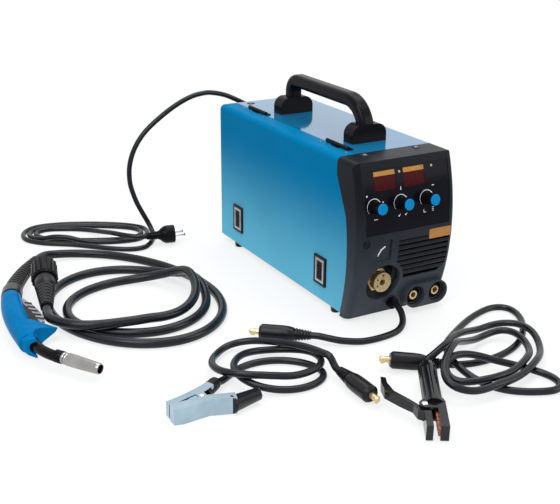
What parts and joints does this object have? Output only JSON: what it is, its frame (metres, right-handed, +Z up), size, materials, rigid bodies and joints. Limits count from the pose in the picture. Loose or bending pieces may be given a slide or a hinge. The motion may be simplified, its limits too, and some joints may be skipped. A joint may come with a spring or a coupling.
{
  "type": "portable mig welder",
  "caption": "Portable inverter MIG welder with hinged wire-bay door, wire feed, front controls and sockets, carry handle, torch, earth clamp, electrode holder and their leads.",
  "frame": {"origin": "on the floor under the middle of the case", "axes": "+Z up, -Y out of the front with its sockets, the hinged door on the -X side"},
  "size_m": [0.7386, 1.0096, 0.33],
  "materials": {
    "blue_paint": "satin blue powder coat",
    "grey_steel": "zinc plated sheet",
    "bezel_plastic": "fine-grained charcoal moulding",
    "black_plastic": "satin black moulding",
    "panel_gloss": "gloss black membrane",
    "display_red": "dark red window",
    "cap_blue": "satin blue",
    "torch_blue": "satin blue moulding",
    "rubber": "matte black",
    "cord_sheath": "satin dark grey sheath",
    "brass": "turned",
    "rocker_red": "gloss red",
    "steel": "turned",
    "arm_grey": "glass-filled moulding",
    "wire_copper": "coppered wire",
    "heat_sink": "extruded",
    "trigger_grey": "satin grey",
    "zinc": "zinc plated, bluish"
  },
  "bodies": {
    "case": {"base_pan": "grey_steel", "divider_wall": "grey_steel", "case_cover": "blue_paint", "rear_panel": "blue_paint", "front_bezel": "bezel_plastic", "rubber_feet": "rubber", "case_screws": "steel", "carry_handle": "black_plastic", "handle_boots": "black_plastic", "hinge_leaves": "black_plastic", "control_panel": "panel_gloss", "display_windows": "display_red", "torch_socket": "brass", "cable_sockets": "brass", "cable_glands": "black_plastic", "switch_frame": "black_plastic", "gas_inlet": "brass", "feeder_frame": "black_plastic", "feed_motor": "grey_steel", "spool_hub": "black_plastic", "spool_nut": "black_plastic", "power_electronics": "heat_sink", "fan_frame": "black_plastic", "mains_cord_run": "cord_sheath", "mains_cord_hank": "cord_sheath", "mains_plug": "black_plastic", "polarity_lead": "cord_sheath", "torch_lead": "cord_sheath", "earth_lead": "cord_sheath", "electrode_lead": "cord_sheath", "cable_plugs": "rubber", "plug_pins": "brass", "torch_connector": "rubber", "torch_grip": "torch_blue", "torch_boot": "rubber", "torch_neck": "steel", "clamp_jaws": "zinc", "electrode_holder": "black_plastic"},
    "door": {"side_door": "blue_paint", "door_knuckles": "black_plastic", "latch_frames": "grey_steel"},
    "front_latch": {"latch_slider_front": "black_plastic"},
    "rear_latch": {"latch_slider_rear": "black_plastic"},
    "dial_1": {"knob_1": "black_plastic", "knob_cap_1": "cap_blue"},
    "dial_2": {"knob_2": "black_plastic", "knob_cap_2": "cap_blue"},
    "dial_3": {"knob_3": "black_plastic", "knob_cap_3": "cap_blue"},
    "rocker": {"power_rocker": "rocker_red"},
    "fan": {"fan_rotor": "black_plastic"},
    "reel": {"wire_reel": "black_plastic", "wire_winding": "wire_copper"},
    "drive": {"drive_roller": "steel"},
    "feed_arm": {"pressure_arm": "arm_grey"},
    "idler": {"pressure_roller": "steel"},
    "tensioner": {"tension_knob": "cap_blue"},
    "trigger": {"torch_trigger": "trigger_grey"},
    "clamp_lever": {"clamp_spring_jaw": "zinc"},
    "holder_jaw": {"holder_lever": "black_plastic"}
  },
  "joints": [
    {"name": "door_hinge", "type": "hinge", "parent": "case", "child": "door", "pos_m": [-0.057, 0, 0.2632], "axis": [0, 1, 0], "range_deg": [0, 100]},
    {"name": "front_latch_slide", "type": "slide", "parent": "door", "child": "front_latch", "axis": [0, 0, 1], "range_m": [0, 0.008], "stiffness_N_per_m": 300},
    {"name": "rear_latch_slide", "type": "slide", "parent": "door", "child": "rear_latch", "axis": [0, 0, 1], "range_m": [0, 0.008], "stiffness_N_per_m": 300},
    {"name": "dial_1_turn", "type": "hinge", "parent": "case", "child": "dial_1", "pos_m": [-0.0625, -0.23649, 0.194], "axis": [0, -0.9898, 0.1424], "range_deg": [-140, 140]},
    {"name": "dial_2_turn", "type": "hinge", "parent": "case", "child": "dial_2", "pos_m": [-0.014, -0.23649, 0.194], "axis": [0, -0.9898, 0.1424], "range_deg": [-140, 140]},
    {"name": "dial_3_turn", "type": "hinge", "parent": "case", "child": "dial_3", "pos_m": [0.0345, -0.23649, 0.194], "axis": [0, -0.9898, 0.1424], "range_deg": [-140, 140]},
    {"name": "power_rocker_tilt", "type": "hinge", "parent": "case", "child": "rocker", "pos_m": [-0.04, 0.217, 0.222], "axis": [0, 0, -1], "range_deg": [0, 20]},
    {"name": "fan_spin", "type": "hinge", "parent": "case", "child": "fan", "pos_m": [0.04115, 0.21, 0.12], "axis": [0, 1, 0], "continuous": true},
    {"name": "reel_spin", "type": "hinge", "parent": "case", "child": "reel", "pos_m": [-0.039, 0.095, 0.135], "axis": [1, 0, 0], "continuous": true},
    {"name": "drive_spin", "type": "hinge", "parent": "case", "child": "drive", "pos_m": [-0.036, -0.092, 0.0496], "axis": [1, 0, 0], "continuous": true},
    {"name": "feed_arm_lift", "type": "hinge", "parent": "case", "child": "feed_arm", "pos_m": [-0.036, -0.128, 0.0904], "axis": [1, 0, 0], "range_deg": [0, 80]},
    {"name": "idler_spin", "type": "hinge", "parent": "feed_arm", "child": "idler", "pos_m": [-0.036, -0.092, 0.0764], "axis": [1, 0, 0], "continuous": true},
    {"name": "tension_turn", "type": "hinge", "parent": "feed_arm", "child": "tensioner", "pos_m": [-0.036, -0.074, 0.095], "axis": [0, 0, 1], "range_deg": [-180, 180]},
    {"name": "torch_trigger_pull", "type": "hinge", "parent": "case", "child": "trigger", "pos_m": [-0.529, 0.067, 0.019], "axis": [0, 0, -1], "range_deg": [0, 4], "stiffness_Nm_per_rad": 3},
    {"name": "clamp_open", "type": "hinge", "parent": "case", "child": "clamp_lever", "pos_m": [-0.402, -0.346, 0.012], "axis": [0, 0, 1], "range_deg": [0, 12], "stiffness_Nm_per_rad": 6},
    {"name": "holder_open", "type": "hinge", "parent": "case", "child": "holder_jaw", "pos_m": [-0.16396, -0.50911, 0.01578], "axis": [0.0349, 0.0563, -0.9978], "range_deg": [0, 22], "stiffness_Nm_per_rad": 4}
  ],
  "couplings": [
    {"joint": "idler_spin", "follows": "drive_spin", "ratio": -1.3636}
  ]
}
